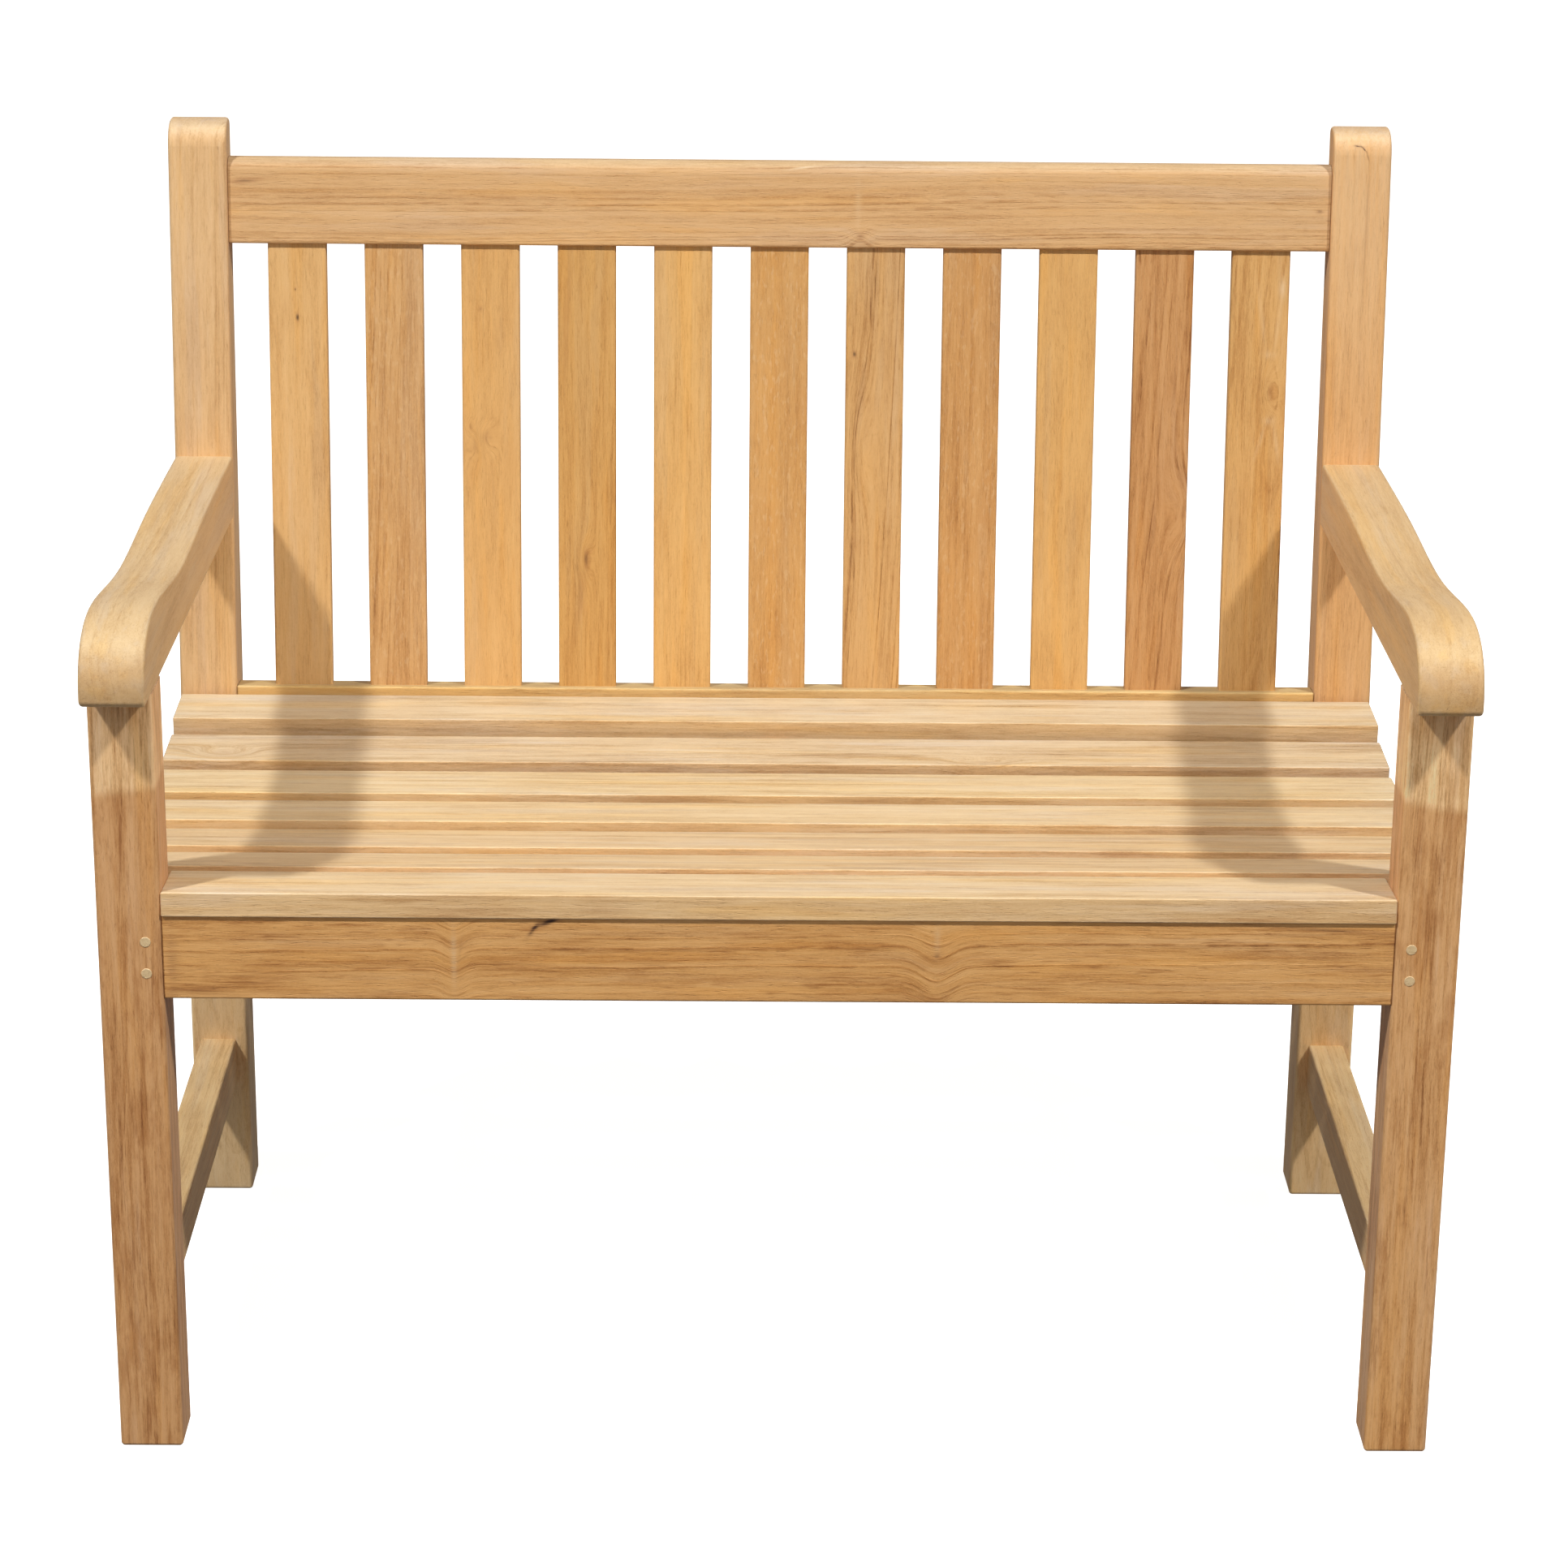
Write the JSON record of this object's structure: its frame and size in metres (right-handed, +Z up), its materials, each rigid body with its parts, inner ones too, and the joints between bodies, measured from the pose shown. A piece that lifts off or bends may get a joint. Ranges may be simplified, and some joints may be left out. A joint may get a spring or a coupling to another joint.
{
  "type": "slatted garden bench",
  "caption": "Wooden garden bench with slatted seat and back, raked posts, scrolled armrests and low side stretchers.",
  "frame": {"origin": "on the ground, at the centre of the bounding box seen from above", "axes": "+X to the right seen from the front, +Y from the front edge to the back, +Z up"},
  "size_m": [1, 0.6, 0.922],
  "materials": {
    "teak_leg": "sanded, unfinished",
    "teak_post": "sanded, unfinished",
    "teak_arm": "sanded, unfinished",
    "teak_back_slat": "sanded, unfinished",
    "teak_seat_slat": "sanded, unfinished",
    "teak_apron": "sanded, unfinished",
    "teak_rail": "sanded, unfinished",
    "pale_peg": "sanded end grain",
    "zinc_screw": "zinc plated"
  },
  "bodies": {
    "root": {"armrest_left": "teak_arm", "armrest_right": "teak_arm", "back_bottom_rail": "teak_rail", "back_slat_01": "teak_back_slat", "back_slat_02": "teak_back_slat", "back_slat_03": "teak_back_slat", "back_slat_04": "teak_back_slat", "back_slat_05": "teak_back_slat", "back_slat_06": "teak_back_slat", "back_slat_07": "teak_back_slat", "back_slat_08": "teak_back_slat", "back_slat_09": "teak_back_slat", "back_slat_10": "teak_back_slat", "back_slat_11": "teak_back_slat", "back_top_rail": "teak_rail", "front_leg_left": "teak_leg", "front_leg_right": "teak_leg", "front_rail": "teak_apron", "front_rail_pegs": "pale_peg", "rear_leg_left": "teak_post", "rear_leg_right": "teak_post", "seat_bearer": "teak_rail", "seat_slat_1": "teak_seat_slat", "seat_slat_2": "teak_seat_slat", "seat_slat_3": "teak_seat_slat", "seat_slat_4": "teak_seat_slat", "seat_slat_5": "teak_seat_slat", "seat_slat_6": "teak_seat_slat", "seat_slat_7": "teak_seat_slat", "seat_slat_screws": "zinc_screw", "side_rail_left": "teak_rail", "side_rail_right": "teak_rail", "stretcher_left": "teak_leg", "stretcher_right": "teak_leg"}
  },
  "joints": []
}
